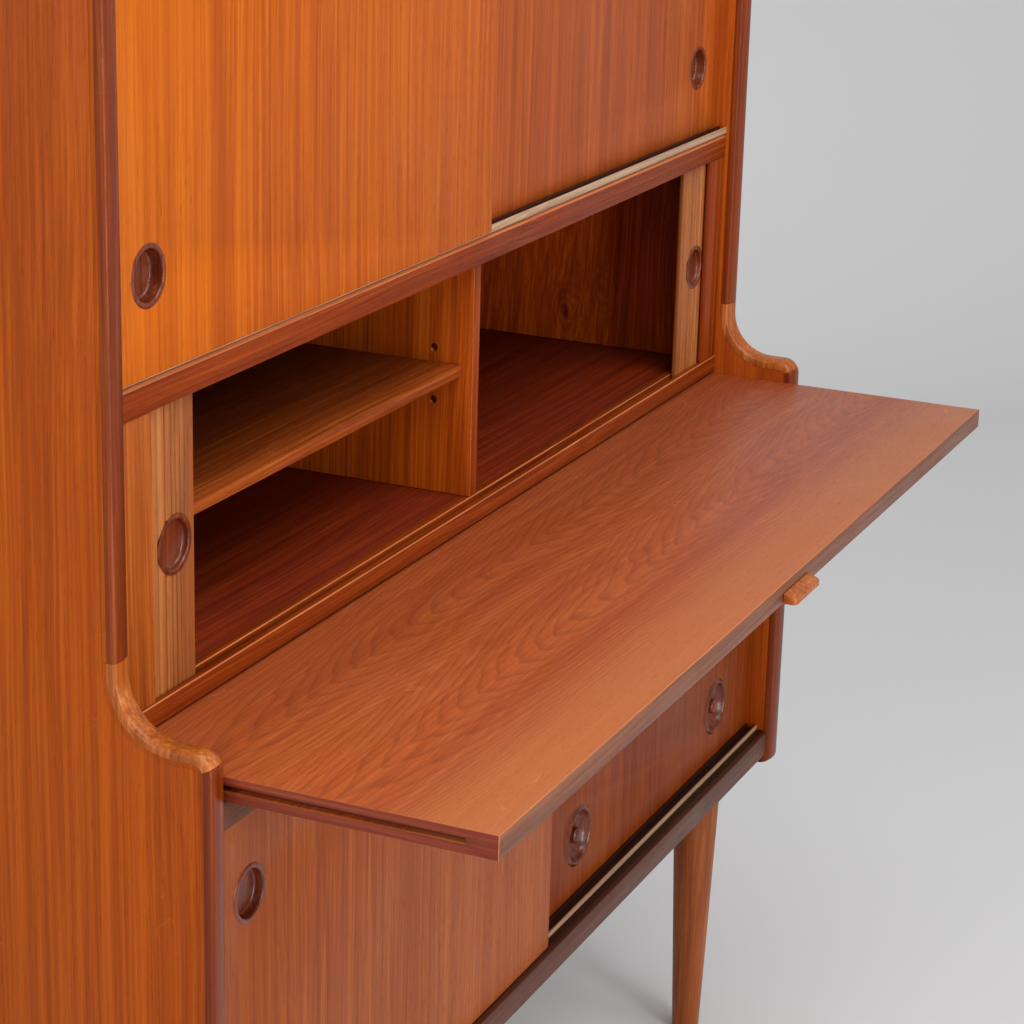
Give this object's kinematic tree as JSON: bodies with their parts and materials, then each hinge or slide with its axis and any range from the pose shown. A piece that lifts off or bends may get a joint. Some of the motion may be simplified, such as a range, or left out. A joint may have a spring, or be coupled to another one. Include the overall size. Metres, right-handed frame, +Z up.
{
  "type": "secretary desk",
  "caption": "Teak secretary desk: sliding doors above, open writing compartment with tambour shutters, pull-out leaf, sliding doors over drawers below, round tapered legs.",
  "frame": {"origin": "on the floor, centre of the bounding box of the desk with its writing leaf drawn out", "axes": "+Z up, -Y towards the person who sits at the desk, +X to that person's right"},
  "size_m": [1.2, 0.661, 1.62],
  "materials": {
    "side_teak": "satin oiled teak veneer",
    "door_teak": "satin oiled teak veneer",
    "dark_teak": "satin dark solid teak",
    "rail_teak": "satin solid teak",
    "leaf_teak": "satin flamed teak veneer",
    "inner_teak": "matt teak veneer",
    "tambour_teak": "reeded satin teak",
    "track_wood": "pale hardwood",
    "back_ply": "matt plywood",
    "drawer_wood": "satin teak veneer"
  },
  "bodies": {
    "carcass": {"side_panel_left": "side_teak", "side_panel_right": "side_teak", "upper_lipping_left": "dark_teak", "upper_lipping_right": "dark_teak", "curved_lipping_left": "rail_teak", "curved_lipping_right": "rail_teak", "lower_lipping_left": "dark_teak", "lower_lipping_right": "dark_teak", "top_panel": "side_teak", "back_panel": "back_ply", "upper_cabinet_floor": "inner_teak", "middle_rail": "rail_teak", "upper_door_track": "track_wood", "compartment_floor": "inner_teak", "tambour_rail": "rail_teak", "tambour_stile_left": "rail_teak", "tambour_stile_right": "rail_teak", "compartment_liner_left": "inner_teak", "compartment_liner_right": "inner_teak", "compartment_back": "inner_teak", "compartment_divider": "inner_teak", "compartment_shelf": "rail_teak", "leaf_runner_left": "rail_teak", "leaf_runner_right": "rail_teak", "lower_top_rail": "dark_teak", "lower_cabinet_top": "inner_teak", "lower_cabinet_floor": "inner_teak", "lower_bottom_rail": "dark_teak", "lower_door_track": "track_wood", "lower_partition": "inner_teak", "drawer_filler_right": "drawer_wood", "leg_front_left": "rail_teak", "leg_front_right": "rail_teak", "leg_rear_left": "rail_teak", "leg_rear_right": "rail_teak", "tambour_left_curtain": "tambour_teak", "tambour_right_curtain": "tambour_teak"},
    "upper_left_door": {"upper_left_door": "door_teak", "upper_left_door_pull": "dark_teak"},
    "upper_right_door": {"upper_right_door": "door_teak", "upper_right_door_pull": "dark_teak"},
    "tambour_left": {"tambour_left_lead": "tambour_teak", "tambour_left_pull": "dark_teak"},
    "tambour_right": {"tambour_right_lead": "tambour_teak", "tambour_right_pull": "dark_teak"},
    "writing_leaf": {"writing_leaf": "leaf_teak", "leaf_finger_tab": "rail_teak"},
    "lower_left_door": {"lower_left_door": "door_teak", "lower_left_door_pull": "dark_teak"},
    "lower_right_door": {"lower_right_door": "door_teak", "lower_right_door_pull": "dark_teak"},
    "drawer_bottom": {"drawer_bottom": "drawer_wood", "drawer_bottom_pull_left": "dark_teak", "drawer_bottom_pull_right": "dark_teak"},
    "drawer_middle": {"drawer_middle": "drawer_wood", "drawer_middle_pull_left": "dark_teak", "drawer_middle_pull_right": "dark_teak"},
    "drawer_top": {"drawer_top": "drawer_wood", "drawer_top_pull_left": "dark_teak", "drawer_top_pull_right": "dark_teak"}
  },
  "joints": [
    {"name": "upper_left_door_slide", "type": "slide", "parent": "carcass", "child": "upper_left_door", "axis": [1, 0, 0], "range_m": [0, 0.57]},
    {"name": "upper_right_door_slide", "type": "slide", "parent": "carcass", "child": "upper_right_door", "axis": [1, 0, 0], "range_m": [-0.565, 0]},
    {"name": "tambour_left_slide", "type": "slide", "parent": "carcass", "child": "tambour_left", "axis": [1, 0, 0], "range_m": [0, 0.474]},
    {"name": "tambour_right_slide", "type": "slide", "parent": "carcass", "child": "tambour_right", "axis": [-1, 0, 0], "range_m": [0, 0.4685]},
    {"name": "writing_leaf_slide", "type": "slide", "parent": "carcass", "child": "writing_leaf", "axis": [0, 1, 0], "range_m": [0, 0.205]},
    {"name": "lower_left_door_slide", "type": "slide", "parent": "carcass", "child": "lower_left_door", "axis": [-1, 0, 0], "range_m": [-0.575, 0]},
    {"name": "lower_right_door_slide", "type": "slide", "parent": "carcass", "child": "lower_right_door", "axis": [-1, 0, 0], "range_m": [-0.5765, 0]},
    {"name": "drawer_bottom_slide", "type": "slide", "parent": "carcass", "child": "drawer_bottom", "axis": [0, -1, 0], "range_m": [0, 0.28]},
    {"name": "drawer_middle_slide", "type": "slide", "parent": "carcass", "child": "drawer_middle", "axis": [0, -1, 0], "range_m": [0, 0.28]},
    {"name": "drawer_top_slide", "type": "slide", "parent": "carcass", "child": "drawer_top", "axis": [0, -1, 0], "range_m": [0, 0.28]}
  ]
}
